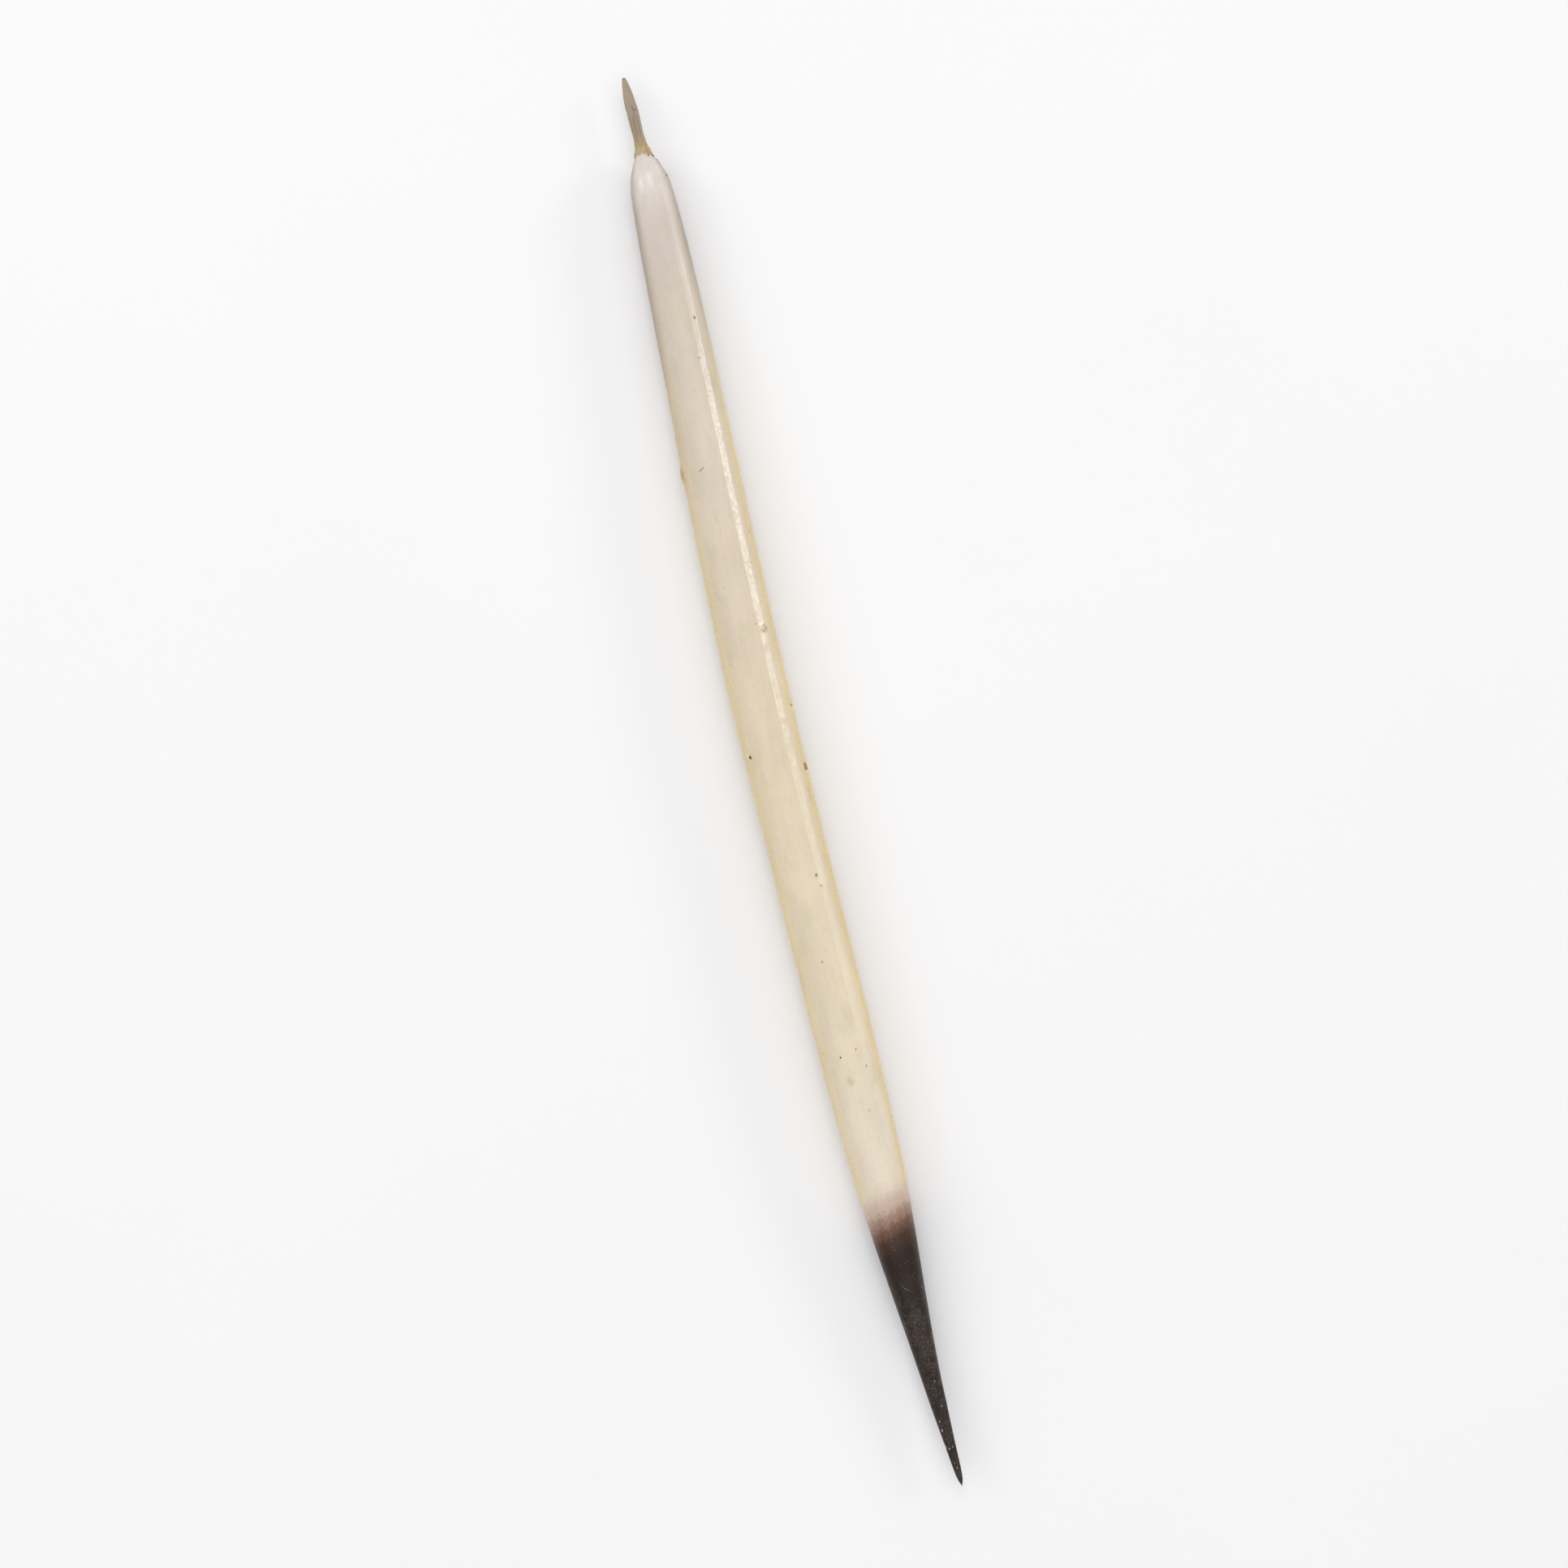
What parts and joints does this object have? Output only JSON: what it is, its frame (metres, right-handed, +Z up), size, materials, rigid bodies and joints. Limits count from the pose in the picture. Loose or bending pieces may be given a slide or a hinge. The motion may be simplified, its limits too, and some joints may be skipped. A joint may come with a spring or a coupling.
{
  "type": "porcupine quill",
  "caption": "Natural porcupine quill lying on its side: slim ivory shaft, slightly bowed, with a dry flattened root stalk and a long taper to a dark barbed point.",
  "frame": {"origin": "under the middle of the quill's box, on the surface that it lies on", "axes": "+Z up; +Y along the quill towards its root stalk, so the point is at -Y; +X across it. The shaft bows a little towards -X"},
  "size_m": [0.0028, 0.063, 0.0025],
  "materials": {
    "keratin": "waxy satin ivory with a fine lengthwise grain, turning brown-black over the last 13 mm to the point"
  },
  "bodies": {
    "root": {"quill": "keratin"}
  },
  "joints": []
}
